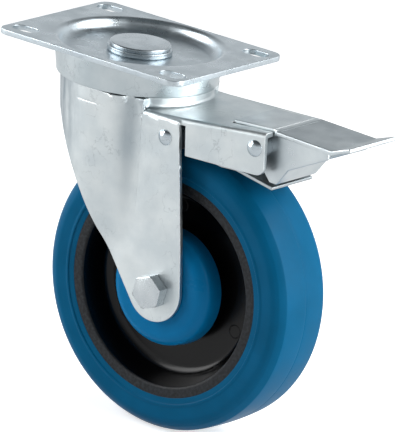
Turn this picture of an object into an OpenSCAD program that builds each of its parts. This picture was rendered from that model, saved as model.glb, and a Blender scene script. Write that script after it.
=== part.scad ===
// Swivel castor with a total-lock pedal: pressed mounting plate, double ball race head, pressed fork with
// a brake hood in the same sheet, black rim with a blue elastic tyre on two ball bearings.
// Frame: origin at the centre of the plate's top face on the swivel axis, +Z up, +X to the pedal,
// Y along the wheel's axle. Millimetres.

/* [Mounting plate] */
// plate length along X
plate_l = 138; // [136:1:160]
// plate width along Y
plate_w = 110; // [110:1:124]
// plate sheet thickness
plate_t = 3.5; // [3:0.25:4]
// plate corner radius
plate_corner_r = 8; // [3:1:10]
// slot centre spacing along X
slot_pitch_x = 112.5; // [108:0.5:114]
// slot centre spacing along Y
slot_pitch_y = 84; // [80:0.5:86]
// slot width, for an M10 bolt
slot_w = 11; // [9:0.5:12]
// overall slot length
slot_l = 17.5; // [14:0.5:19]
// radius at which the dish's lip starts in the top face
dish_r = 53.4; // [53:0.1:53.9]
// round of the dish's lip
dish_lip = 4.8; // [4.4:0.1:5]
// round at the foot of the dish's wall
dish_foot = 6.4; // [5.8:0.1:7]
// depth of the dish's floor
dish_depth = 6.75; // [6.5:0.05:7]

/* [Swivel head] */
// race ball diameter
race_ball_d = 6; // [5.5:0.25:6.25]
// pitch radius of the upper ball ring
upper_race_r = 37; // [36:0.25:38]
// pitch radius of the lower ball ring
lower_race_r = 29; // [27:0.25:30]
// radius of the kingpin's head in the dish
kingpin_head_r = 20; // [17:0.5:22]
// radius of the kingpin's shank
kingpin_r = 9; // [8:0.25:10]
// notches round the swivel lock ring
lock_notches = 30; // [20:2:36]

/* [Fork and hood] */
// fork sheet thickness
fork_t = 3; // [2.75:0.05:3.25]
// horizontal distance from the swivel axis to the axle
trail = 53.8; // [52:0.1:55]
// height from the plate's top face down to the axle
axle_drop = 138.5; // [137.5:0.25:141]
// radius of the leg's round end
leg_end_r = 19.5; // [17:0.5:21]
// outer radius of the crown's raised collar
collar_r = 47; // [46.5:0.05:47.1]
// upward tilt of the brake hood
hood_tilt = 4.05; // [3.5:0.05:4.5]
// inward taper of each hood side in plan
hood_taper = 6.4; // [6:0.1:6.8]
// distance from the swivel axis to the hood's nose
hood_reach = 120; // [119:0.25:121]

/* [Wheel] */
// wheel diameter over the tread
wheel_d = 180; // [178:0.5:182]
// tyre width
tyre_w = 49.6; // [48:0.1:50.5]
// rim radius where the tyre is bonded on
rim_r = 68.3; // [66:0.1:70]
// width over the clamped hub tube
hub_w = 61; // [60:0.25:62.5]
// outer radius of each wheel bearing
bearing_or = 20; // [19.5:0.1:20.5]
// width of each wheel bearing
bearing_w = 12; // [11.5:0.25:12.5]
// axle bolt diameter
bolt_d = 12; // [10:0.5:12]
// width of the bolt's hexagon across its flats
bolt_af = 19; // [17:0.5:19]

/* [Brake] */
// pedal sheet thickness
pedal_t = 2.75; // [2:0.05:2.75]
// half width of the pedal between the hood's strips
pedal_half_w = 20.5; // [19.5:0.1:20.75]
// half width of the pedal's tread
tread_half_w = 23.5; // [22.5:0.1:25]
// brake lever sheet thickness
lever_t = 2; // [1.8:0.1:2.25]
// gap between the tyre and the brake shoe when the brake is off
shoe_gap = 2.2; // [1.75:0.05:2.25]

/* [Hidden] */
$fn = 96;

// clearances: on a pressed or clamped fit, on a turning fit, and round a ball in its track
press_fit = 0.02;
turn_fit = 0.05;
track_fit = 0.05;

// head levels, from the plate's top face down
plate_under = -plate_t;
floor_top = -dish_depth;
floor_under = floor_top - plate_t;
boss_r = dish_r - dish_lip + 1.8;
boss_corner = 6;
track_depth = 1;
upper_race_t = 4.75;
upper_race_under = floor_under - upper_race_t;
upper_ball_z = upper_race_under + track_depth - race_ball_d / 2;
plateau_top = upper_ball_z - race_ball_d / 2 + track_depth;
plateau_under = plateau_top - fork_t;
lower_ball_z = plateau_under + track_depth - race_ball_d / 2;
lower_race_top = lower_ball_z - race_ball_d / 2 + track_depth;
lower_race_under = lower_race_top - 4.5;
lock_ring_under = lower_race_under - 3;
lock_ring_r = 40;
race_half_w = 6;

// crown and legs: levels, and the leg's outer half width at two heights
skirt_top = plateau_under;
crown_top = skirt_top - 6.1;
step_x = 34.4;
leg_front_x = 62;
leg_low_z = -112;
leg_low_y = hub_w / 2 + fork_t;
leg_lean = 0.055;
leg_bottom_z = -axle_drop - 40;
skirt_lean = 0.104;
bulge_lean = 0.151;
fold_r = 3.2;
step_fold_r = 1.2;
leg_bend = 12;
front_slope = 0.106;

// hood
hood_x = 45;
hood_w = 37.85;
hood_low = crown_top - 21.2;
slit_w = 3.3;
notch_x = 88;
notch_half_w = pedal_half_w + 0.8;
hood_inner_y = hood_w - fork_t;

// brake pivots, tied to the top of the wheel
wheel_r = wheel_d / 2;
wheel_top = wheel_r - axle_drop;
pin_r = 4;
brake_sleeve_r = 5.5;
pedal_sleeve_r = 6;
brake_x = 52.6;
brake_z = wheel_top + 7.3;
pedal_x = hood_reach - 6.3;
pedal_z = brake_z + 8.1;

// wheel
hub_half = 24;
hub_r = 26;
bearing_y = 17;
ring_t = 3.45;
tube_r = bearing_or - 11.5;
ball_r = 3.3;
ball_pitch = (tube_r + bearing_or) / 2;
cap_face = hub_w / 2 - 0.7;
bolt_r = bolt_d / 2;
washer_t = 2;

// outer half width of a leg at the height z
function leg_y(z) =
  let (h = z - leg_low_z + leg_bend)
  leg_low_y + leg_lean * (h > 2 * leg_bend ? h - leg_bend : pow(max(0, h), 2) / leg_bend / 4);

// outer half width of the hood at the distance x from the swivel axis
function hood_y(x) = (hood_w - (x - hood_x) * sin(hood_taper)) / cos(hood_taper);

// points on an arc round (cx, cy)
function arc(cx, cy, r, a0, a1, n) = [for (i = [0:n]) let (a = a0 + (a1 - a0) * i / n) [cx + r * cos(a), cy + r * sin(a)]];

// point where a line from p touches the circle of radius r round c; side is 1 or -1
function touch(p, c, r, side) =
  let (v = c - p, d = norm(v), a = atan2(v[1], v[0]) + side * asin(r / d), len = sqrt(d * d - r * r))
  p + len * [cos(a), sin(a)];

// the same points on the other side of the Y axis, in the opposite order
function flipped(points) = [for (i = [len(points) - 1:-1:0]) [-points[i][0], points[i][1]]];

// stands a drawing in the X-Z plane and gives it the thickness t, centred on y = 0
module side_plate(t) {
  rotate([90, 0, 0]) linear_extrude(height = t, center = true) children();
}

// stands a drawing in the Y-Z plane and runs it along X from x0 to x1
module run_x(x0, x1) {
  translate([x0, 0, 0]) rotate([90, 0, 90]) linear_extrude(height = x1 - x0) children();
}

// puts a shape that was made round the Z axis onto the wheel's axle, its top facing -Y
module on_axle() {
  translate([trail, 0, -axle_drop]) rotate([90, 0, 0]) children();
}

// the same shape at both ends of the hub
module both_ends() {
  on_axle() for (m = [0, 1]) mirror([0, 0, m]) children();
}

// round hole or shank across the castor at (x, z)
module cross_bar(x, z, r, l) {
  translate([x, 0, z]) rotate([90, 0, 0]) cylinder(h = l, r = r, center = true);
}

module rect(x0, y0, x1, y1) {
  translate([x0, y0]) square([x1 - x0, y1 - y0]);
}

// ---------------------------------------------------------------- mounting plate and swivel head

module plate_outline() {
  r = plate_corner_r;
  for (sx = [-1, 1], sy = [-1, 1]) translate([sx * (plate_l / 2 - r), sy * (plate_w / 2 - r)]) circle(r);
  square([plate_l - 2 * r, plate_w], center = true);
  square([plate_l, plate_w - 2 * r], center = true);
}

module plate_slots() {
  for (sx = [-1, 1], sy = [-1, 1]) translate([sx * slot_pitch_x / 2, sy * slot_pitch_y / 2]) {
    for (e = [-1, 1]) translate([e * (slot_l - slot_w) / 2, 0]) circle(d = slot_w);
    square([slot_l - slot_w, slot_w], center = true);
  }
}

// half section of the pressed dish: lip and foot meet in a steep wall over the flat floor, boss below
module dish_section(rim) {
  turn = acos(1 - dish_depth / (dish_lip + dish_foot));
  foot_x = dish_r - (dish_lip + dish_foot) * sin(turn);
  wall_x = dish_r - dish_lip * sin(turn);
  wall_z = dish_lip * (cos(turn) - 1);
  hole = kingpin_r + press_fit;
  corner = boss_r - boss_corner;
  difference() {
    union() {
      rect(hole, plate_under, rim, 0);
      rect(hole, floor_under, corner, plate_under);
      rect(hole, floor_under + boss_corner, boss_r, plate_under);
      translate([corner, floor_under + boss_corner]) circle(boss_corner);
    }
    rect(0, floor_top, foot_x, boss_corner);
    intersection() {
      translate([foot_x, floor_top + dish_foot]) circle(dish_foot);
      rect(foot_x - 1, floor_top - 1, wall_x, boss_corner);
    }
    difference() {
      rect(wall_x, wall_z, dish_r, boss_corner);
      translate([dish_r, -dish_lip]) circle(dish_lip);
    }
  }
}

// pressed steel plate: four slotted fixing holes and the dish that carries the ball races
module mounting_plate() {
  rim = dish_r + 1;
  color("LightGrey") {
    translate([0, 0, plate_under]) linear_extrude(height = plate_t) difference() {
      plate_outline();
      plate_slots();
      circle(rim - 0.6);
    }
    rotate_extrude() dish_section(rim);
  }
}

// drawn ring pressed over the dish's boss: shields the upper race and overlaps the crown's collar
module dust_shroud() {
  t = 1.6;
  top_r = boss_r + press_fit;
  low_r = collar_r + 1;
  low = skirt_top + 0.55 + t / 2;
  color("Silver") rotate_extrude() polygon(concat(
    [[top_r, plate_under - 1.6], [top_r, plate_under], [top_r + t, plate_under], [top_r + t, plate_under - 1.2]],
    arc(low_r + t / 2, low, t / 2, 0, -180, 8)
  ));
}

// large rivet that holds the head together: stepped and chamfered head, closed lower end
module kingpin() {
  top = -0.6;
  r = kingpin_head_r;
  closed_r = kingpin_r + 3.5;
  low = lock_ring_under - 3.5;
  color("Silver") rotate_extrude() polygon([
    [0, top], [r - 1.6, top], [r - 1, top - 0.6], [r - 1, top - 1.6], [r - 1.4, top - 1.9],
    [r - 1.4, top - 2.2], [r, top - 2.7], [r, floor_top + 0.8], [r - 0.7, floor_top],
    [kingpin_r, floor_top], [kingpin_r, lock_ring_under], [closed_r, lock_ring_under],
    [closed_r, lock_ring_under - 1.2], [kingpin_r, low], [0, low]
  ]);
}

// the groove that a ring of race balls runs in
module ball_track(r, z) {
  rotate_extrude() translate([r, z]) circle(race_ball_d / 2 + track_fit);
}

module ball_ring(r, z) {
  count = floor(2 * PI * r / (race_ball_d * 1.06));
  for (i = [0:count - 1]) rotate(i * 360 / count) translate([r, 0, z]) sphere(d = race_ball_d);
}

// hardened ring under the dish's floor
module upper_race() {
  color("DimGray") difference() {
    rotate_extrude() rect(upper_race_r - race_half_w, upper_race_under, upper_race_r + race_half_w, floor_under);
    ball_track(upper_race_r, upper_ball_z);
  }
}

module upper_balls() {
  color("Silver") ball_ring(upper_race_r, upper_ball_z);
}

// hardened washer held up by the kingpin's lower end
module lower_race() {
  color("DimGray") difference() {
    rotate_extrude() rect(kingpin_r + press_fit, lower_race_under, lower_race_r + race_half_w, lower_race_top);
    ball_track(lower_race_r, lower_ball_z);
  }
}

module lower_balls() {
  color("Silver") ball_ring(lower_race_r, lower_ball_z);
}

// notched ring fixed under the lower race, into which the brake lever's tail locks
module lock_ring() {
  notch = PI * lock_ring_r / lock_notches;
  color("DarkGray") translate([0, 0, lock_ring_under])
    linear_extrude(height = lower_race_under - lock_ring_under) difference() {
      circle(lock_ring_r);
      circle(kingpin_r + press_fit);
      for (i = [0:lock_notches - 1]) rotate((i + 0.5) * 360 / lock_notches)
        translate([lock_ring_r - 3.5, -notch / 2]) square([5, notch]);
    }
}

// ---------------------------------------------------------------- fork

// side outline of both legs and the skirt behind the collar
module leg_outline() {
  axle = [trail, -axle_drop];
  front = [leg_front_x, crown_top - fold_r + 0.4];
  knee = [9, -axle_drop + 27.9];
  polygon([
    [-60, skirt_top + 1], [step_x + 1, skirt_top + 1], [leg_front_x, crown_top + 1], front,
    touch(front, axle, leg_end_r, 1), axle, touch(knee, axle, leg_end_r, -1), knee, knee + [-8, 12.2],
    [-31, skirt_top - 25], [-50, skirt_top - 16], [-60, skirt_top - 16]
  ]);
  translate(axle) circle(leg_end_r);
}

// section across the legs: a deep U upside down, closing in towards the axle in a soft bend
module leg_section(inset, top, round) {
  fold = round - min(inset, round - 0.2);
  half = concat(
    [[leg_low_y - inset, leg_bottom_z]],
    [for (i = [0:4]) let (z = leg_low_z + leg_bend * (i / 2 - 1)) [leg_y(z) - inset, z]],
    arc(leg_y(top - fold) - inset - fold, top - fold, fold, 3, 90, 8)
  );
  polygon(concat(half, flipped(half)));
}

// the shape that the fork's sheet wraps: inset 0 for its outer face, fork_t for its inner one
module fork_form(inset) {
  top = skirt_top - inset;
  depth = top - leg_bottom_z;
  top_r = collar_r - inset * (1 + skirt_lean);
  run_x(0, leg_front_x + 30) leg_section(inset, crown_top - inset, fold_r);
  run_x(0, step_x - inset) leg_section(inset, top, step_fold_r);
  translate([0, 0, leg_bottom_z]) cylinder(h = depth, r1 = top_r - skirt_lean * depth, r2 = top_r);
  intersection() {
    translate([0, 0, leg_bottom_z]) linear_extrude(height = depth) bulge_plan(inset);
    run_x(-1, step_x) bulge_wedge(collar_r - inset, top);
  }
}

// plan of the flat that each leg is pressed out to beside the collar
module bulge_plan(inset) {
  corner = 8;
  x = 16;
  y = collar_r - corner;
  for (s = [0, 1]) mirror([0, s]) {
    rect(0, 0, x, collar_r - inset);
    rect(0, 0, x + corner - inset, y);
    translate([x, y]) circle(corner - inset);
  }
}

module bulge_wedge(y, top) {
  low = top - 104;
  low_y = y - 104 * bulge_lean;
  polygon([[-low_y, low], [low_y, low], [y, top], [-y, top]]);
}

module legs() {
  difference() {
    intersection() {
      difference() {
        fork_form(0);
        fork_form(fork_t);
      }
      side_plate(120) leg_outline();
    }
    translate([0, 0, crown_top - fork_t]) cylinder(h = 20, r = collar_r - fork_t);
    translate([hood_x + 1, -33.5, crown_top - 5]) cube([30, 67, 10]);
  }
}

// raised collar, the flat plateau between the ball races, and the collar's rounded foot on the hood side
module crown() {
  r = collar_r;
  inner = collar_r - fork_t;
  edge = 2;
  foot = 2.2;
  rotate_extrude() {
    rect(kingpin_r + 5, plateau_under, r - edge, plateau_top);
    rect(inner, crown_top - fork_t, r, plateau_top - edge);
    translate([r - edge, plateau_top - edge]) circle(edge);
  }
  intersection() {
    rotate_extrude() {
      rect(inner, crown_top - fork_t, r + 3, crown_top);
      difference() {
        rect(r - 1, crown_top - 1, r + foot, crown_top + foot);
        translate([r + foot, crown_top + foot]) circle(foot);
      }
    }
    translate([step_x - fork_t, -leg_y(crown_top) + 1, -60]) cube([40, 2 * leg_y(crown_top) - 2, 60]);
  }
}

// one half of the hood along X: top sheet, rounded fold and side
module hood_half() {
  w = hood_w;
  t = fork_t;
  r = fold_r;
  rotate([0, 0, -hood_taper]) run_x(-8, hood_reach - hood_x + 20) polygon(concat(
    [[w - t, -34], [w, -34]],
    arc(w - r, -r, r, 0, 90, 8),
    [[-14, 0], [-14, -t]],
    arc(w - r, -r, r - t, 90, 0, 4)
  ));
}

// side view of the hood: open slit behind it, straight lower edge, rounded nose corner
module hood_outline() {
  nose = 5;
  lean = tan(hood_tilt);
  low_x = hood_reach + 1.2;
  slit_x = leg_front_x + slit_w;
  slit_top = crown_top - fork_t;
  polygon(concat(
    [[hood_x, 0], [hood_x, slit_top], [slit_x, slit_top], [slit_x + (slit_top - hood_low) * front_slope, hood_low]],
    arc(low_x - nose, hood_low + nose, nose, -90, 0, 6),
    [[low_x + (hood_low + nose) * lean, 0]]
  ));
}

module hood() {
  corner = 2;
  difference() {
    intersection() {
      translate([hood_x, 0, crown_top]) rotate([0, -hood_tilt, 0]) {
        hood_half();
        mirror([0, 1, 0]) hood_half();
      }
      side_plate(120) hood_outline();
    }
    translate([0, 0, -45]) linear_extrude(height = 45) {
      rect(notch_x + corner, -notch_half_w, hood_reach + 20, notch_half_w);
      rect(notch_x, corner - notch_half_w, hood_reach, notch_half_w - corner);
      for (s = [-1, 1]) translate([notch_x + corner, s * (notch_half_w - corner)]) circle(corner);
    }
  }
}

// pressed fork: crown collar, two legs and the brake hood are one sheet
module fork() {
  color("Gainsboro") difference() {
    union() {
      legs();
      crown();
      hood();
    }
    ball_track(upper_race_r, upper_ball_z);
    ball_track(lower_race_r, lower_ball_z);
    cross_bar(trail, -axle_drop, bolt_r + turn_fit, 120);
    cross_bar(brake_x, brake_z, pin_r + press_fit, 120);
    cross_bar(pedal_x, pedal_z, pin_r + press_fit, 120);
  }
}

// ---------------------------------------------------------------- brake

// rivet across the fork: its domed heads lie flat on sheet faces that lean and taper
module cross_rivet(x, z, half_span, head_r, lean, taper) {
  dome_r = head_r * 1.25;
  sink = sqrt(dome_r * dome_r - head_r * head_r);
  cross_bar(x, z, pin_r, 2 * half_span + 0.6);
  for (m = [0, 1]) mirror([0, m, 0]) translate([x, half_span + press_fit, z]) rotate([-90 - lean, 0, -taper])
    intersection() {
      cylinder(h = dome_r, r = head_r);
      translate([0, 0, -sink]) sphere(dome_r);
    }
}

module brake_pin() {
  color("Silver") cross_rivet(brake_x, brake_z, leg_y(brake_z), 5, atan(leg_lean), 0);
}

module pedal_pin() {
  x = hood_x + (pedal_x - hood_x) * cos(hood_tilt) + (pedal_z - crown_top) * sin(hood_tilt);
  color("Silver") cross_rivet(pedal_x, pedal_z, hood_y(x), 5.2, -hood_tilt * sin(hood_taper), hood_taper);
}

module cross_sleeve(x, z, r, half_l) {
  difference() {
    cross_bar(x, z, r, 2 * half_l);
    cross_bar(x, z, pin_r + press_fit, 2 * half_l + 2);
  }
}

// tube on the brake pin between the legs, on which the lever rocks
module brake_sleeve() {
  room = leg_y(brake_z - brake_sleeve_r) - fork_t;
  color("Gray") cross_sleeve(brake_x, brake_z, brake_sleeve_r, room - 0.1);
}

// tube on the pedal pin between the hood's sides, on which the pedal's cheeks turn
module pedal_sleeve() {
  room = hood_y(pedal_x + pedal_sleeve_r) - fork_t;
  color("Gray") cross_sleeve(pedal_x, pedal_z, pedal_sleeve_r, room - 0.1);
}

// band of sheet in side view whose upper face follows the points, running in +X
module band(points, t) {
  for (i = [0:len(points) - 2]) {
    a = points[i];
    b = points[i + 1];
    n = [b[1] - a[1], a[0] - b[0]] / norm(b - a) * t;
    polygon([a, a + n, b + n, b]);
  }
  for (i = [1:len(points) - 2]) intersection() {
    translate(points[i]) circle(t);
    translate(points[i] - [t, 2 * t]) square([2 * t, 2 * t]);
  }
}

// side view of the lever's pressed shoe and of the tail that runs forward under the pedal's nose
module shoe_outline() {
  axle = [trail, -axle_drop];
  low_r = wheel_r + shoe_gap;
  x0 = brake_x + 7.4;
  x1 = brake_x + 35.4;
  end_z = -axle_drop + sqrt(pow(low_r + lever_t, 2) - pow(x1 - trail, 2));
  intersection() {
    difference() {
      translate(axle) circle(low_r + lever_t);
      translate(axle) circle(low_r);
    }
    rect(x0, wheel_top - 20, x1, wheel_top + 20);
  }
  band([[x1 - 0.5, end_z + 0.15], [brake_x + 49.5, brake_z - 12.1], [brake_x + 70.4, brake_z - 15.8]], lever_t);
}

// side view of one rail: from the lock tail, round the sleeve, to the shoe
module rail_outline() {
  polygon([
    [brake_x - 28.6, brake_z + 6.3], [brake_x - 22.6, brake_z + 6.3], [brake_x - 20, brake_z + 4],
    [brake_x - 6, brake_z + 6.5], [brake_x + 6, brake_z + 6.5], [brake_x + 28, brake_z - 5.4],
    [brake_x + 27, brake_z - 9.5], [brake_x + 10, brake_z - 5.8], [brake_x + 4, brake_z - 8],
    [brake_x - 8, brake_z - 8], [brake_x - 28.6, brake_z - 3]
  ]);
  translate([brake_x, brake_z]) circle(brake_sleeve_r + 3.2);
}

// folded lever: two rails on the sleeve, a locking bar behind them, and the brake shoe in front
module brake_lever() {
  half_w = 30;
  tail_half_w = pedal_half_w;
  tail_x = brake_x - 28.6;
  color("Gray") difference() {
    union() {
      intersection() {
        side_plate(2 * half_w) shoe_outline();
        translate([0, 0, wheel_top - 40]) linear_extrude(height = 60) polygon([
          [brake_x, -half_w], [brake_x + 27.4, -half_w], [brake_x + 42.4, -tail_half_w], [200, -tail_half_w],
          [200, tail_half_w], [brake_x + 42.4, tail_half_w], [brake_x + 27.4, half_w], [brake_x, half_w]
        ]);
      }
      for (s = [-1, 1]) translate([0, s * (half_w - lever_t / 2), 0]) side_plate(lever_t) rail_outline();
      translate([tail_x, -half_w, brake_z - 3]) cube([lever_t, 2 * half_w, 9.3]);
    }
    cross_bar(brake_x, brake_z, brake_sleeve_r + turn_fit, 2 * half_w + 2);
    for (s = [-1, 1]) translate([tail_x - 1, s * 18 - 9, brake_z + 3.2]) cube([lever_t + 2, 18, 10]);
  }
}

// pedal in side view, measured from its pivot: rear edge, ridge, front of the tread, upturned lip
pivot = [pedal_x, pedal_z];
pedal_rear = pivot + [-23.7, 10.4];
pedal_ridge = pivot + [8.3, 11.8];
pedal_front = pivot + [50, 10.4];
pedal_lip = pivot + [63.3, 15.1];

pedal_elbow = pivot + [19.1, -10.8];
pedal_nose = pivot + [11.3, -21.8];
pedal_heel = pivot + [6.3, -21.6];

// cheek inside the hood: down round the pivot to the nose and out under the tread
module cheek_outline() {
  polygon([
    pedal_rear + [8, -1.5], pedal_ridge - [0, 1.5], pedal_front - [3.7, 1.5], pivot + [46.6, 3],
    pedal_elbow, pedal_nose, pedal_heel, pivot + [4, -18.9], pivot + [-5.7, -8.9], pivot + [-13.7, 1.1]
  ]);
}

// wall folded across between the cheeks: its lower end is the nose that presses the lever's tail
module nose_outline() {
  t = pedal_t;
  polygon([
    pedal_elbow + [5.4, 6.3], pedal_elbow, pedal_nose, pedal_heel, pedal_heel + [0, t],
    pedal_nose + [-1.3, t], pedal_elbow + [-2.1, 1.4], pedal_elbow + [3.5, 7.9]
  ]);
}

// folded pedal: flat between the hood's strips, wider tread, upturned lip, two cheeks and the nose
// between them
module pedal() {
  iw = pedal_half_w;
  ow = tread_half_w;
  t = pedal_t;
  color("Silver") difference() {
    union() {
      side_plate(2 * iw) band([pedal_rear, pedal_ridge, pedal_ridge + [4, -0.13]], t);
      side_plate(2 * ow) band([pedal_ridge, pedal_front, pedal_lip], t);
      side_plate(2 * iw - t) nose_outline();
      for (s = [-1, 1]) translate([0, s * (iw - t / 2), 0]) side_plate(t) cheek_outline();
    }
    cross_bar(pedal_x, pedal_z, pedal_sleeve_r + turn_fit, 2 * ow + 2);
  }
}

// ---------------------------------------------------------------- wheel

// half section of the tyre: slightly crowned tread, round shoulders, flat sides, thin step at the rim
module tyre() {
  h = tyre_w / 2;
  shoulder = 8;
  edge_y = h - shoulder;
  drop = 0.7;
  crown_r = (edge_y * edge_y + drop * drop) / (2 * drop);
  step_r = rim_r + 3.8;
  rib = 2;
  half = concat(
    arc(wheel_r - crown_r, 0, crown_r, 0, asin(edge_y / crown_r), 4),
    [for (p = arc(wheel_r - drop - shoulder, edge_y, shoulder, 5, 90, 9)) p],
    [[step_r, h], [step_r, h - 0.5], [rim_r, h - 0.9], [rim_r, rib * 4], [rim_r - rib, rib * 3]]
  );
  color("SteelBlue") on_axle() rotate_extrude() polygon(concat(
    half,
    [for (i = [len(half) - 1:-1:1]) [half[i][0], -half[i][1]]]
  ));
}

// black rim: hub with two bearing seats, thin web, bowl-shaped inner wall, flat side lips
module rim() {
  lip_y = tyre_w / 2 - 0.9;
  lip_r = rim_r - 6.1;
  web = 5.7;
  web_r = rim_r - 11.8;
  rib = 2;
  seat = bearing_y - bearing_w / 2;
  half = concat(
    [[rim_r - rib, rib * 3], [rim_r, rib * 4], [rim_r, lip_y], [lip_r + 0.5, lip_y], [lip_r, lip_y - 0.5]],
    arc(web_r - 6, web + 6.1, 6, -18, -90, 6),
    arc(hub_r + 3, web + 3, 3, -90, -180, 5),
    [[hub_r, hub_half - 1], [hub_r - 1, hub_half], [bearing_or, hub_half], [bearing_or, seat], [bearing_or - 4, seat]]
  );
  color("Black") on_axle() difference() {
    rotate_extrude() polygon(concat(half, [for (i = [len(half) - 1:-1:0]) [half[i][0], -half[i][1]]]));
    for (m = [0, 1], i = [0:2]) mirror([0, 0, m]) rotate(-24 + 120 * i) translate([48, 0, web - 0.4])
      cylinder(h = 2, r = 4);
  }
}

// domed thread guards pushed onto the hub
module hub_caps() {
  t = 2;
  edge = 7;
  face_r = 28.5;
  wide = hub_r + 11;
  low = 14;
  color("RoyalBlue") both_ends() rotate_extrude() polygon(concat(
    [[tube_r + 2, cap_face - t], [tube_r + 2, cap_face]],
    arc(face_r, cap_face - edge, edge, 90, 8, 7),
    [[wide, low], [wide - t, low]],
    arc(face_r, cap_face - edge, edge - t, 8, 90, 4),
    [[hub_r + t, cap_face - t], [hub_r + t, low + 2], [hub_r, low + 2], [hub_r, cap_face - t]]
  ));
}

// ring of a deep groove bearing, with the groove for its balls
module bearing_ring(inner_r, outer_r) {
  both_ends() translate([0, 0, bearing_y]) difference() {
    rotate_extrude() rect(inner_r, -bearing_w / 2, outer_r, bearing_w / 2);
    rotate_extrude() translate([ball_pitch, 0]) circle(ball_r + track_fit);
  }
}

module outer_rings() {
  color("Silver") bearing_ring(bearing_or - ring_t, bearing_or);
}

module inner_rings() {
  color("Silver") bearing_ring(tube_r, tube_r + ring_t);
}

// thin steel shields on both sides of each bearing
module bearing_shields() {
  y = bearing_w / 2 - 0.8;
  color("Gray") both_ends() for (s = [-1, 1]) translate([0, 0, bearing_y + s * y]) rotate_extrude()
    rect(tube_r + ring_t + 0.35, -0.3, bearing_or - ring_t, 0.3);
}

module bearing_balls() {
  count = 8;
  color("Silver") both_ends() for (i = [0:count - 1]) rotate(i * 360 / count)
    translate([ball_pitch, 0, bearing_y]) sphere(ball_r);
}

// steel tube that the legs clamp, through both inner rings
module axle_tube() {
  color("Gray") on_axle() difference() {
    cylinder(h = hub_w, r = tube_r, center = true);
    cylinder(h = hub_w + 2, r = bolt_r + 0.15, center = true);
  }
}

// hexagon with the round chamfer of a machine bolt on its outer face
module hexagon(h) {
  corner = bolt_af / 2 / cos(30);
  intersection() {
    rotate(20) cylinder(h = h, r = corner, $fn = 6);
    cylinder(h = h, r1 = corner + 1.7 * h, r2 = corner - 0.9);
  }
}

module axle_bolt() {
  end = leg_low_y + washer_t + 12.5;
  color("Silver") on_axle() {
    translate([0, 0, leg_low_y]) hexagon(7.5);
    translate([0, 0, -end]) cylinder(h = end + leg_low_y + 0.5, r = bolt_r);
  }
}

module axle_washer() {
  color("LightGrey") on_axle() translate([0, 0, -leg_low_y - washer_t]) difference() {
    cylinder(h = washer_t, r = bolt_d);
    translate([0, 0, -1]) cylinder(h = washer_t + 2, r = bolt_r + 0.2);
  }
}

// lock nut with the round collar that holds its nylon ring
module axle_nut() {
  color("Silver") on_axle() mirror([0, 0, 1]) translate([0, 0, leg_low_y + washer_t]) difference() {
    union() {
      hexagon(8);
      cylinder(h = 10.5, r = bolt_af / 2 - 1);
    }
    translate([0, 0, -1]) cylinder(h = 14, r = bolt_r + press_fit);
  }
}

mounting_plate();
dust_shroud();
kingpin();
upper_race();
upper_balls();
lower_race();
lower_balls();
lock_ring();
fork();
brake_pin();
brake_sleeve();
pedal_pin();
pedal_sleeve();
brake_lever();
pedal();
tyre();
rim();
hub_caps();
outer_rings();
bearing_shields();
inner_rings();
bearing_balls();
axle_tube();
axle_bolt();
axle_washer();
axle_nut();
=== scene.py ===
import math
import bmesh
import bpy
import numpy as np
from mathutils import Matrix, Vector
from mathutils.bvhtree import BVHTree


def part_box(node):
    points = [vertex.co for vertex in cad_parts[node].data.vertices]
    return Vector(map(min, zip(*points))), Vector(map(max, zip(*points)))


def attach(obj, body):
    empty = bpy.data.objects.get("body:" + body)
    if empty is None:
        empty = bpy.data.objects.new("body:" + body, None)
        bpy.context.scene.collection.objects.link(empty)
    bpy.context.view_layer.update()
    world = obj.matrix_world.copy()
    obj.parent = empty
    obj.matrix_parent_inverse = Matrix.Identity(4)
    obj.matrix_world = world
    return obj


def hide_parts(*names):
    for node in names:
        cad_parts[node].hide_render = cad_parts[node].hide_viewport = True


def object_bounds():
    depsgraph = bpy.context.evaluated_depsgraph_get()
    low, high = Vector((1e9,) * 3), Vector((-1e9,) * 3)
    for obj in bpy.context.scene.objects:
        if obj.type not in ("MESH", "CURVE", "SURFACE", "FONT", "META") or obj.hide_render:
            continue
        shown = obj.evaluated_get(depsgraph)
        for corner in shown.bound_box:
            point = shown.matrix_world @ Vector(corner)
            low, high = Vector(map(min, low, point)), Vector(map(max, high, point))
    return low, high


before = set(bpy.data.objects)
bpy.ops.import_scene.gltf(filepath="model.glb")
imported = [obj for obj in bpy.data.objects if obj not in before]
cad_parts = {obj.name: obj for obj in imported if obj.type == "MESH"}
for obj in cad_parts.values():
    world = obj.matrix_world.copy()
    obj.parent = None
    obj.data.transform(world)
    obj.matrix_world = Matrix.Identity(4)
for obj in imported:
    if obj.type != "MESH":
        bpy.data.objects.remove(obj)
cad_lo, cad_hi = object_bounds()

# ---------------------------------------------------------------- mounting plate
# Pressed from 3.5 mm steel with a dish for the ball races, then zinc plated and blue passivated. The
# coating is satin, slightly cloudy, with a few scuffs from handling; its edges are painted lighter as a highlight.


def material(name, **sockets):
    """A Principled material with these values on its own sockets."""
    m = bpy.data.materials.new(name)
    m.use_nodes = True
    shader = m.node_tree.nodes["Principled BSDF"]
    for key, value in sockets.items():
        shader.inputs[key.replace("_", " ")].default_value = value
    return m


def wire(m, value, socket):
    if isinstance(value, bpy.types.NodeSocket):
        m.node_tree.links.new(value, socket)
    else:
        socket.default_value = value


def add(m, kind, inputs, **settings):
    """A new node with its inputs set or linked; gives back its outputs."""
    node = m.node_tree.nodes.new("ShaderNode" + kind)
    for key, value in settings.items():
        setattr(node, key, value)
    for key, value in inputs.items():
        wire(m, value, node.inputs[key])
    return node.outputs


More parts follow.
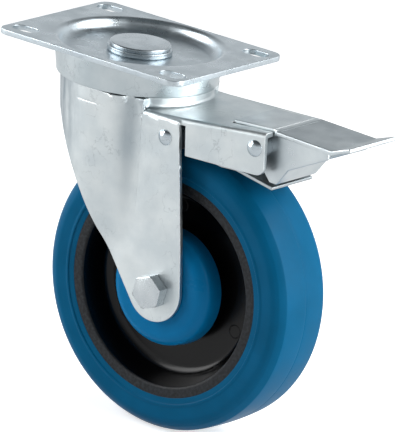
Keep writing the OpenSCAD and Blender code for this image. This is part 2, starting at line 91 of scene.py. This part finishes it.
def noise(m, size, detail=3.0, stretch=(1, 1, 1), at=(0, 0, 0)):
    """Noise with features of about this size in metres, drawn out along an axis by a small stretch."""
    where = add(m, "TexCoord", {})["Object"]
    where = add(m, "Mapping", {"Vector": where, "Scale": stretch, "Location": at})["Vector"]
    return add(m, "TexNoise", {"Vector": where, "Scale": 1 / size, "Detail": detail, "Roughness": 0.55})["Fac"]


def spread(m, value, low, high, to_low, to_high):
    """The value's range low to high, carried over to another range and kept inside it."""
    return add(m, "MapRange", {"Value": value, "From Min": low, "From Max": high,
                               "To Min": to_low, "To Max": to_high})["Result"]


def tinted(m, share, under, over):
    """Colour that goes from one to the other with the share."""
    return add(m, "Mix", {0: share, 6: under, 7: over}, data_type="RGBA")[2]


def rgb(r, g, b):
    """Linear colour of an 8-bit sRGB one."""
    def line(c):
        c /= 255
        return c / 12.92 if c <= 0.04045 else ((c + 0.055) / 1.055) ** 2.4
    return (line(r), line(g), line(b), 1)


def edges(m, radius):
    """Normal with its edges rounded off, and a mask of those edges."""
    soft = add(m, "Bevel", {"Radius": radius}, samples=6)["Normal"]
    flat = add(m, "NewGeometry", {})["Normal"]
    same = add(m, "VectorMath", {0: soft, 1: flat}, operation="DOT_PRODUCT")["Value"]
    return soft, spread(m, same, 0.80, 0.99, 1, 0)


def finish_with(m, colour=None, rough=None, normal=None):
    shader = m.node_tree.nodes["Principled BSDF"]
    for key, value in (("Base Color", colour), ("Roughness", rough), ("Normal", normal)):
        if value is not None:
            wire(m, value, shader.inputs[key])


def zinc(name, body, cloud, bright, rough, edge, seed, grain=(1, 1, 1)):
    """Zinc-plated steel: cloudy satin coat, small dark scuffs, fine grain, and edges painted lighter as a highlight."""
    m = material(name, Metallic=1.0, IOR=1.5)
    soft, edge_highlight = edges(m, edge)
    clouds = spread(m, noise(m, 0.022, 4, at=seed), 0.36, 0.66, 0, 1)
    fine = noise(m, 0.0016, 2, grain, seed)
    worn = spread(m, noise(m, 0.03, 2, at=seed), 0.48, 0.62, 0, 1)
    line = add(m, "Math", {0: noise(m, 0.012, 7, (1, 1, 0.7), seed), 1: 0.5}, operation="SUBTRACT")[0]
    line = spread(m, add(m, "Math", {0: line}, operation="ABSOLUTE")[0], 0.0, 0.012, 0.35, 0)
    scuffs = add(m, "Math", {0: worn, 1: line}, operation="MULTIPLY")[0]
    colour = tinted(m, clouds, body, cloud)
    colour = tinted(m, scuffs, colour, rgb(120, 128, 132))
    # The edge mask paints the edges lighter as a highlight.
    colour = tinted(m, edge_highlight, colour, bright)
    roughness = spread(m, noise(m, 0.012, 4, at=seed), 0.3, 0.7, rough - 0.07, rough + 0.09)
    normal = add(m, "Bump", {"Strength": 0.10, "Distance": 0.0004, "Height": fine, "Normal": soft})["Normal"]
    finish_with(m, colour, roughness, normal)
    return m


def dress(node, m):
    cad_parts[node].material_slots[0].material = m


def finished(name, mesh, m, body, node, turn=32):
    """Puts a mesh into the scene as the piece that stands for a node and rides on its body."""
    obj = bpy.data.objects.new(name, mesh)
    bpy.context.scene.collection.objects.link(obj)
    mesh.materials.clear()
    mesh.materials.append(m)
    mesh.shade_smooth()
    mesh.set_sharp_from_angle(angle=math.radians(turn))
    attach(obj, body)
    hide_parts(node)
    return obj


def settled(obj, kind, **settings):
    """Applies one modifier to the object's mesh."""
    mod = obj.modifiers.new(kind.title(), kind)
    for key, value in settings.items():
        setattr(mod, key, value)
    bpy.context.view_layer.update()
    made = bpy.data.meshes.new_from_object(obj.evaluated_get(bpy.context.evaluated_depsgraph_get()))
    obj.modifiers.clear()
    obj.data = made
    return obj


def eased(node, body, m, round_off, least, steps=2, turn=50, drawn=None):
    """A pressed or turned piece with its cut edges rounded, as tumbling before plating leaves them."""
    bm = bmesh.new()
    bm.from_mesh(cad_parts[node].data)
    bmesh.ops.remove_doubles(bm, verts=bm.verts, dist=1e-6)
    bmesh.ops.dissolve_limit(bm, angle_limit=math.radians(0.2), verts=bm.verts, edges=bm.edges)
    bm.normal_update()
    if drawn:
        drawn(bm)
    weight = bm.edges.layers.float.new("bevel_weight_edge")
    sliver = 3e-7 if drawn else 0
    for edge in bm.edges:
        broad = len(edge.link_faces) == 2 and min(f.calc_area() for f in edge.link_faces) >= sliver
        if broad and edge.calc_length() > least:
            if edge.calc_face_angle_signed(0) > math.radians(turn):
                edge[weight] = 1
    mesh = bpy.data.meshes.new(node + "_eased")
    bm.to_mesh(mesh)
    bm.free()
    obj = finished(node + "_piece", mesh, m, body, node)
    settled(obj, "BEVEL", width=round_off, segments=steps, limit_method="WEIGHT", use_clamp_overlap=False)
    obj.data.shade_smooth()
    obj.data.set_sharp_from_angle(angle=math.radians(32))
    return settled(obj, "WEIGHTED_NORMAL", keep_sharp=True, weight=70)


eased("mounting_plate", "head", zinc("plate_zinc", rgb(196, 205, 210), rgb(184, 194, 200), rgb(232, 236, 238),
                                     0.30, 0.0005, (3.1, 0.4, 1.7)), 0.0005, 0)

# ---------------------------------------------------------------- dust shroud
# Ring drawn from thin sheet and pressed over the dish's boss. Its plating is smoother than the plate's.


def filleted(points, default=0.3, steps=4):
    """Closed outline in millimetres with rounded corners; a third number on a point is its own radius."""
    out = []
    for i, p in enumerate(points):
        here = Vector(p[:2])
        back = Vector(points[i - 1][:2]) - here
        on = Vector(points[(i + 1) % len(points)][:2]) - here
        radius = p[2] if len(p) > 2 else default
        half = back.angle(on) / 2
        if radius == 0 or half > 1.5:
            out.append(here)
            continue
        cut = min(radius / math.tan(half), 0.48 * back.length, 0.48 * on.length)
        radius = cut * math.tan(half)
        back.normalize()
        on.normalize()
        centre = here + (back + on).normalized() * (radius / math.sin(half))
        first, last = here + back * cut - centre, here + on * cut - centre
        for k in range(steps + 1):
            out.append(centre + first.lerp(last, k / steps).normalized() * radius)
    return out


def spun(bm, outline, hub=None, steps=144):
    """Closed outline of radius and height spun round the swivel axis, or round a line along the axle."""
    rings = []
    for k in range(steps):
        c, s = math.cos(math.tau * k / steps) / 1000, math.sin(math.tau * k / steps) / 1000
        if hub is None:
            rings.append([bm.verts.new((r * c, r * s, h / 1000)) for r, h in outline])
        else:
            rings.append([bm.verts.new((hub[0] + r * c, hub[1] - h / 1000, hub[2] + r * s)) for r, h in outline])
    for k in range(steps):
        one, two = rings[k - 1], rings[k]
        for i in range(len(outline)):
            if max(outline[i - 1][0], outline[i][0]) > 1e-6:
                bm.faces.new((one[i - 1], one[i], two[i], two[i - 1]))


def turned(name, bm, m, body, node):
    """The spun outlines as one piece that stands for a node."""
    bmesh.ops.remove_doubles(bm, verts=bm.verts, dist=1e-7)
    bmesh.ops.recalc_face_normals(bm, faces=bm.faces)
    mesh = bpy.data.meshes.new(name)
    bm.to_mesh(mesh)
    bm.free()
    return finished(name, mesh, m, body, node)


shroud = bmesh.new()
spun(shroud, filleted([
    (50.42, -5.1), (50.42, -3.5, 0.1), (52.02, -3.5, 0.7), (51.95, -6, 3), (50.1, -17.5, 4), (49.75, -20.2, 1),
    (49.5, -21.45, 0.7), (48.1, -21.45, 0.7), (48.1, -19.8, 1), (50.2, -6.5, 2)]))
turned("dust_shroud_piece", shroud, zinc("shroud_zinc", rgb(194, 202, 205), rgb(180, 190, 194), rgb(232, 236, 238),
                                         0.30, 0.0003, (7.3, 2.2, 0.3)), "head", "dust_shroud")

# ---------------------------------------------------------------- kingpin
# Large steel rivet that clamps the races, turned with a stepped rim, plated and headed over below the
# lock ring.
pin = bmesh.new()
spun(pin, filleted([
    (0, -0.6, 0), (18.3, -0.6, 0.5), (19.1, -1.3, 0.4), (19.1, -2.0, 0.4), (18.3, -2.45, 0.3), (18.3, -2.75, 0.3),
    (20, -3.3, 0.5), (20, -5.9, 0.5), (19.2, -6.75, 0.1), (9, -6.75, 0.2), (9, -33.5, 0.2), (12.5, -33.5, 0.2),
    (12.5, -34.9, 0.6), (9.2, -37, 1.2), (0, -37, 0)]))
turned("kingpin_piece", pin, zinc("kingpin_zinc", rgb(190, 198, 203), rgb(176, 186, 192), rgb(240, 243, 244),
                                  0.24, 0.0003, (1.2, 5.4, 2.8)), "head", "kingpin")

# ---------------------------------------------------------------- ball races
# Hardened steel rings, turned and ground, left dark by the heat treatment and lightly oiled.


def race_steel(name, body, rough, seed):
    m = material(name, Metallic=1.0)
    soft, edge_highlight = edges(m, 0.0003)
    turned = noise(m, 0.004, 3, (1, 1, 6), seed)
    colour = tinted(m, turned, body, rgb(96, 98, 102))
    # The edges are painted lighter as a highlight.
    colour = tinted(m, edge_highlight, colour, rgb(176, 180, 184))
    roughness = spread(m, turned, 0.3, 0.7, rough - 0.08, rough + 0.1)
    normal = add(m, "Bump", {"Strength": 0.12, "Distance": 0.0002, "Height": turned, "Normal": soft})["Normal"]
    finish_with(m, colour, roughness, normal)
    return m


dress("upper_race", race_steel("upper_race_steel", rgb(132, 134, 138), 0.34, (0.2, 1.1, 4.0)))
dress("lower_race", race_steel("lower_race_steel", rgb(128, 130, 134), 0.34, (2.2, 0.1, 3.0)))
dress("lock_ring", race_steel("lock_ring_steel", rgb(140, 142, 145), 0.40, (5.2, 4.1, 1.0)))

# ---------------------------------------------------------------- race balls
# Balls of ground and polished bearing steel, packed in a smear of grease, in the two rows of the head
# and in the wheel bearings.


def ball_steel(name, seed):
    m = material(name, Metallic=1.0, Coat_Weight=0.3, Coat_Roughness=0.25)
    grease = spread(m, noise(m, 0.004, 3, at=seed), 0.4, 0.6, 0, 1)
    colour = tinted(m, grease, rgb(206, 209, 212), rgb(150, 146, 132))
    finish_with(m, colour, spread(m, grease, 0, 1, 0.08, 0.3))
    return m


for node in ("upper_balls", "lower_balls", "bearing_balls"):
    dress(node, ball_steel(node + "_steel", (1.0, 2.0, 3.0)))

# ---------------------------------------------------------------- fork
# One pressing of 3 mm sheet: crown, two legs and the brake hood. Barrel plated, so its broad faces are
# cloudy and carry faint scuffs. Its cut edges are painted lighter as a highlight, the left-facing upper legs
# carry a painted dark reflection in streaks, and the soft creases carry painted shade.
LEG_INSIDE = 0.026
LEG_TOP = -0.0226
COLLAR_FOOT = -0.0311
OUTSIDE = 0.07


def leg_face(tree, side, start, xs, zs):
    """How far out one face of a leg stands at each x and z, and whether it is there."""
    high, there = np.zeros((len(xs), len(zs))), np.zeros((len(xs), len(zs)))
    toward = -side if start else side
    for i, x in enumerate(xs):
        for k, z in enumerate(zs):
            at, normal = tree.ray_cast((x, side * start, z), (0, toward, 0))[:2]
            if at and abs(at.y) > 0.027 and abs(normal.y) > 0.6:
                high[i, k], there[i, k] = abs(at.y), 1
    return high, there


def blurred(field, width):
    """The field summed under a bell of this width in steps of its grid."""
    reach = int(3 * width)
    bell = np.exp(-0.5 * (np.arange(-reach, reach + 1) / width) ** 2)
    for axis in (0, 1):
        field = np.apply_along_axis(np.convolve, axis, field, bell, "same")
    return field


def run_out(high, there, width):
    """The face with its creases run out: at each place, the plane that fits its surroundings best."""
    i, k = np.meshgrid(*(np.arange(n) - n / 2 for n in high.shape), indexing="ij")
    terms = (np.ones_like(high), i, k)
    left = np.array([[blurred(there * a * b, width) for a in terms] for b in terms]).transpose(2, 3, 0, 1)
    right = np.array([blurred(there * a * high, width) for a in terms]).transpose(1, 2, 0)
    plane = np.linalg.solve(left + 1e-9 * np.eye(3), right[..., None])[..., 0]
    return plane[..., 0] + plane[..., 1] * i + plane[..., 2] * k


def eased_in(value, low, high):
    """0 below the range, 1 above it, and a soft rise between."""
    share = min(max((value - low) / (high - low), 0), 1)
    return share * share * (3 - 2 * share)


def skin_of(bm, start):
    """The corners of one face of a leg: all that can be reached without crossing a cut edge."""
    reached, todo = {start}, [bm.faces[start]]
    while todo:
        for edge in todo.pop().edges:
            if len(edge.link_faces) == 2 and edge.calc_face_angle_signed(0) < math.radians(60):
                for face in edge.link_faces:
                    at = face.calc_center_median()
                    flat = face.calc_area() > 1e-9 and face.index not in reached
                    if flat and at.z < -0.0222 and abs(at.y) > LEG_INSIDE and at.x > -0.042:
                        reached.add(face.index)
                        todo.append(face)
    return {v.index for k in reached for v in bm.faces[k].verts}


def without_ledge(bm):
    """Brings the collar's foot back to the wall below it, so that no ledge is left between them."""
    tree = BVHTree.FromBMesh(bm)
    for v in bm.verts:
        out = Vector((v.co.x, v.co.y, 0))
        if abs(v.co.z - COLLAR_FOOT) < 0.0001 and 0.0465 < out.length < 0.0475:
            out.normalize()
            at = tree.ray_cast(out * 0.06 + Vector((0, 0, v.co.z - 0.0002)), -out, 0.02)[0]
            if at:
                v.co.x, v.co.y = at.x, at.y
    foot = [v for v in bm.verts if abs(v.co.z - COLLAR_FOOT) < 0.0006 and math.hypot(v.co.x, v.co.y) > 0.0435]
    bmesh.ops.remove_doubles(bm, verts=foot, dist=0.0007)


def drawn_legs(bm):
    """Turns the sharp creases of both legs into the soft bends of deep-drawn sheet."""
    def near(face):
        at = face.calc_center_median()
        return abs(face.normal.z) < 0.5 and at.z < -0.021 and -0.04 < at.x < 0.0655 and abs(at.y) > LEG_INSIDE

    without_ledge(bm)
    for k in range(7):
        bmesh.ops.triangulate(bm, faces=[f for f in bm.faces if len(f.verts) > 3 and near(f)])
        bm.normal_update()
        long = [e for e in bm.edges if e.calc_length() > 0.0034 and any(near(f) for f in e.link_faces)]
        bmesh.ops.subdivide_edges(bm, edges=long, cuts=1)
    bm.normal_update()
    bm.verts.index_update()
    bm.faces.index_update()
    bm.faces.ensure_lookup_table()
    tree = BVHTree.FromBMesh(bm)
    # The 'pressed' attribute holds the crease mask that the fork's material paints as shade.
    pressed = bm.verts.layers.float.new("pressed")
    step = 0.0015
    xs, zs = np.arange(-0.04, 0.066, step), np.arange(-0.158, -0.0225, step)
    for side in (-1, 1):
        faces = [leg_face(tree, side, start, xs, zs) for start in (OUTSIDE, 0)]
        soft = [run_out(high, there, 3.6) for high, there in faces]
        beyond = np.array([eased_in(x, 0.014, 0.024) for x in xs])[:, None]
        # Where the run-out face stands proud of the creased one, i.e. the crease valley; kept only as a mask for
        # painted shade.
        crease_shade_field = blurred(np.clip((soft[0] - faces[0][0]) / 0.0028, 0, 1) * faces[0][1] * beyond, 2.4)
        crease_shade_field /= blurred(np.ones_like(crease_shade_field), 2.4)
        sheet = [skin_of(bm, tree.ray_cast((0.05, side * start, -0.12), (0, toward * side, 0))[2])
                 for start, toward in ((OUTSIDE, -1), (0, 1))]
        moves = []
        for v in bm.verts:
            if v.co.y * side > LEG_INSIDE and -0.04 < v.co.x < 0.0653 and v.co.z < LEG_TOP:
                i, k = (v.co.x - xs[0]) / step, (v.co.z - zs[0]) / step
                i0, k0 = min(int(i), len(xs) - 2), min(max(int(k), 0), len(zs) - 2)
                a, b = min(i - i0, 1), min(max(k - k0, 0), 1)
                skins = [field for field, skin in zip(soft, sheet) if v.index in skin]
                if len(skins) != 1:
                    skins = soft if abs(v.normal.y) < 0.3 else [soft[0 if v.normal.y * side > 0 else 1]]
                here = [float(np.array((1 - a, a)) @ field[i0:i0 + 2, k0:k0 + 2] @ np.array((1 - b, b)))
                        for field in skins + [crease_shade_field]]
                to = sum(here[:-1]) / len(skins)
                v[pressed] = here[-1]
                top = -0.024 - 0.0095 * eased_in(v.co.x, 0.028, 0.034)
                share = eased_in(v.co.x, -0.006, 0.010) * eased_in(-v.co.z, -top, -top + 0.004)
                moves.append((v, share * (side * to - v.co.y)))
        for v, move in moves:
            v.co.y += move
    bm.normal_update()


fork_zinc = zinc("fork_zinc", rgb(212, 218, 219), rgb(196, 204, 207), rgb(238, 241, 242),
                 0.38, 0.0008, (0.7, 3.3, 5.1))
# Painted dark reflection: faces turned to the left on the upper legs are darkened in streaks.
where = add(fork_zinc, "TexCoord", {})
aside = add(fork_zinc, "SeparateXYZ", {"Vector": where["Normal"]})["X"]
level = add(fork_zinc, "SeparateXYZ", {"Vector": where["Object"]})["Z"]
left_face_reflection = add(fork_zinc, "Math", {0: spread(fork_zinc, aside, -0.16, -0.5, 0, 1),
                                    1: spread(fork_zinc, level, -0.10, -0.035, 0, 1)}, operation="MULTIPLY")[0]
reflection_streaks = spread(fork_zinc, noise(fork_zinc, 0.006, 5, (1, 1, 0.16), (0.4, 2.0, 0.1)), 0.35, 0.62, 0.25, 0.95)
reflection_and_crease_shade = add(fork_zinc, "Math", {0: left_face_reflection, 1: reflection_streaks}, operation="MULTIPLY")[0]
# Painted shade in the legs' soft creases, read from the 'pressed' mask.
crease_shade_node = add(fork_zinc, "Attribute", {})
fork_zinc.node_tree.nodes["Attribute"].attribute_name = "pressed"
reflection_and_crease_shade = add(fork_zinc, "Math", {0: reflection_and_crease_shade, 1: spread(fork_zinc, crease_shade_node["Fac"], 0.02, 0.34, 0, 0.48)},
           operation="MAXIMUM")[0]
under = fork_zinc.node_tree.nodes["Principled BSDF"].inputs["Base Color"].links[0].from_socket
finish_with(fork_zinc, tinted(fork_zinc, reflection_and_crease_shade, under, rgb(118, 132, 142)))
eased("fork", "fork", fork_zinc, 0.0004, 0.0009, drawn=drawn_legs)

# ---------------------------------------------------------------- brake and pedal pins
# Cross rivets with domed heads, headed after plating and so a little brighter than the sheet. A plain
# steel tube turns on each between the sheet walls.
for node, seed in (("brake_pin", (4.1, 0.2, 0.9)), ("pedal_pin", (2.6, 6.2, 1.4))):
    dress(node, zinc(node + "_zinc", rgb(196, 204, 209), rgb(176, 187, 194), rgb(236, 240, 242), 0.14, 0.0003, seed))
for node, seed in (("brake_sleeve", (6.1, 1.2, 0.9)), ("pedal_sleeve", (3.6, 2.2, 7.4))):
    dress(node, zinc(node + "_zinc", rgb(180, 187, 192), rgb(164, 172, 178), rgb(220, 224, 226), 0.35, 0.0003, seed))

# ---------------------------------------------------------------- brake lever
# Lever folded from sheet, with the lock bar at one end and the brake shoe at the other. It rocks on the
# brake pin and is pressed down by the pedal's nose.
eased("brake_lever", "brake_lever", zinc("lever_zinc", rgb(186, 193, 196), rgb(168, 176, 180), rgb(226, 230, 232),
                                         0.36, 0.0005, (5.5, 0.6, 2.1)), 0.0004, 0.0012)

# ---------------------------------------------------------------- pedal
# Pedal folded from sheet, held in the hood's notch by its pin. The up-facing tread in front of the ridge
# is painted darker as shade; the cheeks are not.
pedal_zinc = zinc("pedal_zinc", rgb(204, 211, 213), rgb(190, 198, 202), rgb(238, 241, 242),
                  0.34, 0.0005, (2.5, 1.6, 4.1))
above = add(pedal_zinc, "SeparateXYZ", {"Vector": add(pedal_zinc, "TexCoord", {})["Normal"]})["Z"]
along = add(pedal_zinc, "SeparateXYZ", {"Vector": add(pedal_zinc, "TexCoord", {})["Object"]})["X"]
ridge = min(v.co.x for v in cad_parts["pedal"].data.vertices) + 0.032
# Painted shade: up-facing faces in front of the ridge are darkened.
tread_shade = add(pedal_zinc, "Math", {0: spread(pedal_zinc, above, 0.86, 0.97, 0, 0.55),
                                   1: spread(pedal_zinc, along, ridge - 0.001, ridge + 0.002, 0.1, 1)},
              operation="MULTIPLY")[0]
under = pedal_zinc.node_tree.nodes["Principled BSDF"].inputs["Base Color"].links[0].from_socket
finish_with(pedal_zinc, tinted(pedal_zinc, tread_shade, under, rgb(126, 136, 142)))
eased("pedal", "pedal", pedal_zinc, 0.0009, 0.0019, 3)

# ---------------------------------------------------------------- tyre
# Elastic solid rubber, dyed blue and moulded onto the rim, with a fine parting line round the tread and
# a raised ring on each side.
wheel_lo, wheel_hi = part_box("tyre")
hub = [(wheel_lo[i] + wheel_hi[i]) / 2 for i in range(3)]
tyre_rubber = material("tyre_rubber", Specular_IOR_Level=0.06)
soft = edges(tyre_rubber, 0.0006)[0]
bloom = spread(tyre_rubber, noise(tyre_rubber, 0.03, 4), 0.35, 0.7, 0, 1)
colour = tinted(tyre_rubber, bloom, rgb(2, 84, 121), rgb(5, 92, 132))
fine = noise(tyre_rubber, 0.0012, 2)
finish_with(tyre_rubber, colour, spread(tyre_rubber, bloom, 0, 1, 0.34, 0.46),
            add(tyre_rubber, "Bump", {"Strength": 0.06, "Distance": 0.0003, "Height": fine, "Normal": soft})["Normal"])


def both_sides(half):
    """Outline of one side of the wheel joined to its mirror image on the other side."""
    return half + [(p[0], -p[1], *p[2:]) for p in reversed(half)]


crown = [(214.5 * math.cos(a) - 124.5, 214.5 * math.sin(a), 0) for a in (0.004, 0.02, 0.04, 0.06, 0.078)]
tyre = bmesh.new()
spun(tyre, filleted(both_sides([(89.85, 0.18, 0), (89.98, 0.45, 0)] + crown + [
    (89.15, 18.4, 0.9), (87.9, 20.3, 3), (86.2, 22.3, 4), (84.2, 23.7, 5), (81.6, 24.75, 5), (79.2, 24.75, 3),
    (76.2, 24.4, 6), (74.2, 24.4, 1), (73.3, 24.8, 0.5), (72.2, 24.8, 0.4), (71.9, 24.2, 0.3),
    (68.3, 23.95, 0.2), (68.3, 8, 0), (66.3, 6, 0)])), hub, 192)
turned("tyre_piece", tyre, tyre_rubber, "wheel", "tyre")

# ---------------------------------------------------------------- rim
# Injection-moulded polyamide: black and glossy in the bowl, matt and a little scuffed on its lip, with
# the round marks of three ejector pins on each side of the web.
rim_nylon = material("rim_nylon", Specular_IOR_Level=0.25)
soft = edges(rim_nylon, 0.0005)[0]
axes = add(rim_nylon, "SeparateXYZ", {"Vector": add(rim_nylon, "TexCoord", {})["Object"]})
across = add(rim_nylon, "Math", {0: add(rim_nylon, "Math", {0: axes["Y"], 1: hub[1]}, operation="SUBTRACT")[0]},
             operation="ABSOLUTE")[0]
lip = spread(rim_nylon, across, 0.0225, 0.0237, 0, 1)
dust = spread(rim_nylon, noise(rim_nylon, 0.002, 5), 0.4, 0.75, 0, 1)
colour = tinted(rim_nylon, lip, rgb(3, 3, 4), tinted(rim_nylon, dust, rgb(18, 20, 23), rgb(46, 50, 54)))
grain = add(rim_nylon, "Bump", {"Strength": add(rim_nylon, "Math", {0: lip, 1: 0.25}, operation="MULTIPLY")[0],
                                "Distance": 0.0004, "Height": dust, "Normal": soft})["Normal"]
finish_with(rim_nylon, colour, add(rim_nylon, "Mix", {0: lip, 2: 0.24, 3: 0.55}, data_type="FLOAT")[0], grain)
rim = bmesh.new()
spun(rim, filleted(both_sides([
    (66.3, 6, 0), (68.3, 8, 0), (68.3, 23.9, 0.2), (62.0, 23.9, 1.8), (60.7, 20.4, 1.5), (55.8, 5.8, 6.5), (43, 5.7, 0),
    (34, 5.9, 4), (26, 6.6, 3), (26, 24, 0.8), (20, 24, 0.3), (20, 11, 0.1), (16, 11, 0.2)]), steps=8), hub, 192)
for side in (-1, 1):
    for k in range(3):
        turn = math.radians(-24 + 120 * k)
        mark = (hub[0] + 0.048 * math.cos(turn), hub[1] - side * 0.0056, hub[2] + 0.048 * math.sin(turn))
        spun(rim, [(3.7, 0), (3.85, 0.35 * side), (4.15, 0.35 * side), (4.3, 0)], mark, 40)
turned("rim_piece", rim, rim_nylon, "wheel", "rim")

# ---------------------------------------------------------------- hub caps
# Thread guards moulded in satin blue plastic, one pressed into each side of the rim to keep threads out
# of the bearings.
cap_plastic = material("cap_plastic", Specular_IOR_Level=0.08)
soft = edges(cap_plastic, 0.0006)[0]
flow = spread(cap_plastic, noise(cap_plastic, 0.02, 3), 0.3, 0.7, 0, 1)
finish_with(cap_plastic, tinted(cap_plastic, flow, rgb(2, 106, 156), rgb(4, 112, 165)),
            spread(cap_plastic, flow, 0, 1, 0.26, 0.34), soft)
cap = filleted([(10.5, 27.8, 0.2), (10.5, 29.8, 0.4), (31.2, 29.8, 8), (35.6, 24.4, 5), (37, 14, 0.5), (35, 14, 0.4),
                (33.6, 24, 4), (30, 27.8, 5)], steps=8)
caps = bmesh.new()
for side in (-1, 1):
    for outline in (cap, [(28, 27.9), (28, 16), (26, 16), (26, 27.9)]):
        spun(caps, [(r, side * h) for r, h in outline], hub, 144)
turned("hub_caps_piece", caps, cap_plastic, "wheel", "hub_caps")

# ---------------------------------------------------------------- wheel bearings and axle
# Two deep groove bearings of ground steel on a spacer tube, clamped between the legs by a plated M12
# bolt, washer and lock nut.
for node, seed in (("outer_rings", (1, 1, 1)), ("inner_rings", (2, 1, 1)), ("bearing_shields", (3, 1, 1)),
                   ("axle_tube", (4, 1, 1))):
    dress(node, zinc(node + "_steel", rgb(190, 194, 198), rgb(178, 182, 186), rgb(220, 224, 226), 0.28, 0.0002, seed))
for node, seed in (("axle_bolt", (1, 5, 1)), ("axle_nut", (3, 5, 1))):
    eased(node, "fork", zinc(node + "_zinc", rgb(204, 210, 212), rgb(190, 197, 201), rgb(240, 243, 244),
                             0.26, 0.0004, seed), 0.0005, 0.001, turn=25)
dress("axle_washer", zinc("axle_washer_zinc", rgb(200, 206, 209), rgb(188, 195, 199), rgb(236, 239, 240),
                          0.28, 0.0003, (2, 5, 1)))

# ---------------------------------------------------------------- floor, lamps and camera
# Pale seamless floor, soft boxes at the left, behind and at the right, and a white surround that
# metal mirrors as a bright horizon under a dark ceiling.
bpy.ops.mesh.primitive_plane_add(size=14, location=(0, 0, cad_lo[2] - 0.0002))
floor = bpy.context.object
floor.name = "floor"
paper = material("floor_paper", Roughness=0.9, Specular_IOR_Level=0.1)
grain = spread(paper, noise(paper, 0.4, 2), 0.3, 0.7, 0.0, 1.0)
finish_with(paper, tinted(paper, grain, (0.80, 0.80, 0.80, 1), (0.82, 0.82, 0.82, 1)))
floor.data.materials.append(paper)
tree = paper.node_tree
out = tree.nodes["Material Output"]
rays = add(paper, "LightPath", {})
seen = add(paper, "Math", {0: rays["Is Camera Ray"], 1: 0.62}, operation="MULTIPLY")["Value"]
glow = add(paper, "Emission", {"Color": (1, 1, 1, 1), "Strength": seen})["Emission"]
lit = add(paper, "AddShader", {0: tree.nodes["Principled BSDF"].outputs[0], 1: glow})[0]
white = add(paper, "Emission", {"Color": (0.97, 0.98, 0.99, 1), "Strength": 1.0})["Emission"]
mirrored = add(paper, "Math", {0: rays["Is Glossy Ray"], 1: 0.8}, operation="MULTIPLY")["Value"]
tree.links.new(add(paper, "MixShader", {0: mirrored, 1: lit, 2: white})[0], out.inputs["Surface"])


def lamp(name, toward, away, width, height, level, aim=(0.03, 0, -0.1)):
    """Soft box at this distance in a direction from the castor; level 1 shows as white in a mirror."""
    data = bpy.data.lights.new(name, "AREA")
    data.shape, data.size, data.size_y = "RECTANGLE", width, height
    data.energy = level * math.pi * width * height
    obj = bpy.data.objects.new(name, data)
    bpy.context.scene.collection.objects.link(obj)
    back = Vector(toward).normalized()
    obj.location = Vector(aim) + back * away
    obj.rotation_euler = back.to_track_quat("Z", "Y").to_euler()
    obj.visible_camera = False


lamp("left_box", (-0.85, -0.52, 0.42), 1.0, 0.8, 0.8, 4.8)
lamp("back_box", (0.52, 0.44, 0.73), 1.2, 0.8, 0.8, 3.2)
lamp("right_box", (0.92, 0.30, 0.28), 1.1, 1.1, 1.2, 4.0)

world = bpy.data.worlds.new("surround")
bpy.context.scene.world = world
world.use_nodes = True
tree = world.node_tree
back = tree.nodes["Background"]
path = tree.nodes.new("ShaderNodeLightPath")
where = tree.nodes.new("ShaderNodeTexCoord")
axes = tree.nodes.new("ShaderNodeSeparateXYZ")
tree.links.new(where.outputs["Generated"], axes.inputs[0])
level = tree.nodes.new("ShaderNodeValToRGB")
tree.links.new(axes.outputs["Z"], level.inputs["Fac"])
stops = level.color_ramp.elements
stops[0].position, stops[0].color = 0.0, (0.88, 0.90, 0.91, 1)
stops[1].position, stops[1].color = 1.0, (0.10, 0.12, 0.13, 1)
for position, grey in ((0.3, 0.84), (0.5, 0.46), (0.62, 0.27), (0.78, 0.10)):
    stop = stops.new(position)
    stop.color = (grey * 0.96, grey, grey * 1.03, 1)
soft = tree.nodes.new("ShaderNodeMix")
soft.data_type = "RGBA"
tree.links.new(path.outputs["Is Diffuse Ray"], soft.inputs[0])
tree.links.new(level.outputs["Color"], soft.inputs[6])
soft.inputs[7].default_value = (0.14, 0.15, 0.16, 1)
mix = tree.nodes.new("ShaderNodeMix")
mix.data_type = "RGBA"
tree.links.new(path.outputs["Is Camera Ray"], mix.inputs[0])
tree.links.new(soft.outputs[2], mix.inputs[6])
mix.inputs[7].default_value = (1, 1, 1, 1)
tree.links.new(mix.outputs[2], back.inputs["Color"])
back.inputs["Strength"].default_value = 1.0

camera = bpy.data.cameras.new("camera")
camera.lens, camera.sensor_width = 576.6, 36
eye = bpy.data.objects.new("camera", camera)
bpy.context.scene.collection.objects.link(eye)
eye.matrix_world = Matrix(((0.792935, -0.258423, 0.551789, 2.371785),
                           (0.599770, 0.171446, -0.781590, -3.277036),
                           (0.107379, 0.950697, 0.290940, 1.123839),
                           (0, 0, 0, 1)))
camera.clip_start, camera.clip_end = 0.1, 60
bpy.context.scene.camera = eye

scene = bpy.context.scene
scene.view_settings.view_transform = "Standard"
